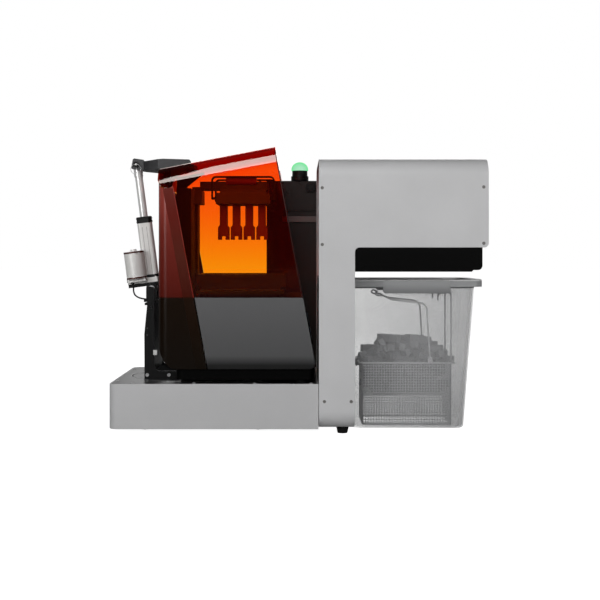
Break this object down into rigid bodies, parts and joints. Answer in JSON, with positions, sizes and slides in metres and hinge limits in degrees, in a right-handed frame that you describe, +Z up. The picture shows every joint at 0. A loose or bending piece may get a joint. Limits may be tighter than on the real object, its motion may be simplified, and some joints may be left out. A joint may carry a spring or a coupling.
{
  "type": "resin printer with automatic part removal",
  "caption": "Desktop resin printer on a long tray, with an amber cover raised by a linear actuator, and a silver tower and hood that take prints off into a frosted bin with a basket.",
  "frame": {"origin": "on the floor, at the middle of the machine's bounding box", "axes": "+X from the cover opener towards the hood and bin, +Y across the machine to the side with the signal column, +Z up"},
  "size_m": [0.906, 0.4668, 0.6925],
  "materials": {
    "tray_grey": "satin",
    "deck_black": "satin",
    "steel": "satin",
    "rod_chrome": "polished",
    "foot_rubber": "matt",
    "printer_grey": "satin",
    "black_plastic": "matt",
    "lead_rubber": "matt",
    "black_metal": "satin",
    "black_anodised": "satin",
    "yoke_grey": "satin",
    "screen_glass": "gloss",
    "rear_brown": "gloss",
    "cover_amber": "gloss",
    "tank_amber": "gloss",
    "aluminium": "satin",
    "printed_resin": "matt",
    "pile_resin": "matt",
    "beacon_green": "gloss",
    "shell_silver": "satin",
    "bin_frosted": "satin",
    "basket_steel": "satin"
  },
  "bodies": {
    "root": {"base_tray": "tray_grey", "tray_deck": "deck_black", "locating_disc": "deck_black", "deck_screws": "steel", "leveling_feet": "foot_rubber", "printer_base": "black_plastic", "printer_feet": "foot_rubber", "side_panel_near": "printer_grey", "side_panel_far": "printer_grey", "front_lower_panel": "printer_grey", "touchscreen": "screen_glass", "rear_shell": "rear_brown", "hinge_brackets": "black_metal", "hinge_pins": "steel", "z_column": "black_anodised", "z_rails": "steel", "z_motor": "black_metal", "resin_tank": "tank_amber", "light_unit_rods": "steel", "power_supply": "aluminium", "power_inlet": "black_plastic", "opener_post": "black_metal", "lower_clevis": "black_metal", "lower_pin": "steel", "post_screws": "steel", "actuator_lead": "lead_rubber", "column_housing": "black_metal", "column_head": "black_metal", "beacon_base": "black_plastic", "beacon_lens": "beacon_green", "tower_shell": "shell_silver", "shell_screws": "steel", "hood_lower_housing": "black_metal", "tower_core": "black_plastic", "inner_liner": "black_plastic", "hood_frame": "aluminium", "extractor_motor": "black_metal"},
    "screw": {"leadscrew": "steel"},
    "mixer": {"tank_mixer": "black_plastic"},
    "light": {"light_unit": "black_plastic"},
    "carriage": {"z_carriage": "aluminium", "build_platform": "aluminium", "platform_handle": "black_plastic", "printed_parts": "printed_resin"},
    "cover": {"cover_shell": "cover_amber", "cover_hinge_arms": "black_metal", "yoke": "yoke_grey", "yoke_pin": "steel"},
    "actuator": {"actuator_body": "black_metal", "actuator_tube": "aluminium", "actuator_motor": "aluminium"},
    "rod": {"actuator_rod": "rod_chrome", "rod_end": "steel"},
    "knob": {"column_knob": "black_plastic"},
    "stage": {"extractor_stage": "aluminium"},
    "fork": {"platform_fork": "black_anodised"},
    "bin": {"bin_body": "bin_frosted"},
    "basket": {"basket": "basket_steel", "parts_pile": "pile_resin"},
    "bail": {"basket_handle": "basket_steel"}
  },
  "joints": [
    {"name": "cover_hinge", "type": "hinge", "parent": "root", "child": "cover", "pos_m": [-0.316, -0.02255, 0.612], "axis": [0, -1, 0], "range_deg": [0, 35.5]},
    {"name": "actuator_swing", "type": "hinge", "parent": "root", "child": "actuator", "pos_m": [-0.373, -0.02255, 0.346], "axis": [0, -1, 0], "range_deg": [0, 4.7], "deforming": ["actuator_lead"]},
    {"name": "rod_slide", "type": "slide", "parent": "actuator", "child": "rod", "axis": [-0.126, 0, 0.992], "range_m": [-0.0612, 0]},
    {"name": "z_slide", "type": "slide", "parent": "root", "child": "carriage", "axis": [0, 0, 1], "range_m": [-0.1, 0]},
    {"name": "screw_spin", "type": "hinge", "parent": "root", "child": "screw", "pos_m": [-0.258, -0.02255, 0.4], "axis": [0, 0, 1], "range_deg": [-4510, 10]},
    {"name": "light_slide", "type": "slide", "parent": "root", "child": "light", "axis": [0, 1, 0], "range_m": [-0.07, 0.07]},
    {"name": "mixer_slide", "type": "slide", "parent": "root", "child": "mixer", "axis": [0, 1, 0], "range_m": [-0.07, 0.07]},
    {"name": "stage_slide", "type": "slide", "parent": "root", "child": "stage", "axis": [-1, 0, 0], "range_m": [0, 0.085]},
    {"name": "fork_slide", "type": "slide", "parent": "stage", "child": "fork", "axis": [-1, 0, 0], "range_m": [0, 0.085]},
    {"name": "knob_turn", "type": "hinge", "parent": "root", "child": "knob", "pos_m": [0.033, 0.18745, 0.618], "axis": [0, -1, 0], "range_deg": [0, 90]},
    {"name": "bin_slide", "type": "slide", "parent": "root", "child": "bin", "axis": [1, 0, 0], "range_m": [0, 0.36]},
    {"name": "basket_lift", "type": "slide", "parent": "bin", "child": "basket", "axis": [0, 0, 1], "range_m": [0, 0.045]},
    {"name": "bail_swing", "type": "hinge", "parent": "basket", "child": "bail", "pos_m": [0.327, -0.02255, 0.171], "axis": [0, 1, 0], "range_deg": [0, 35]}
  ],
  "couplings": [
    {"joint": "actuator_swing", "follows": "cover_hinge", "ratio": 0.129},
    {"joint": "rod_slide", "follows": "cover_hinge", "m_per_rad": -0.0982},
    {"joint": "screw_spin", "follows": "z_slide", "rad_per_m": 785.4},
    {"joint": "mixer_slide", "follows": "light_slide", "ratio": 1},
    {"joint": "fork_slide", "follows": "stage_slide", "ratio": 1}
  ]
}
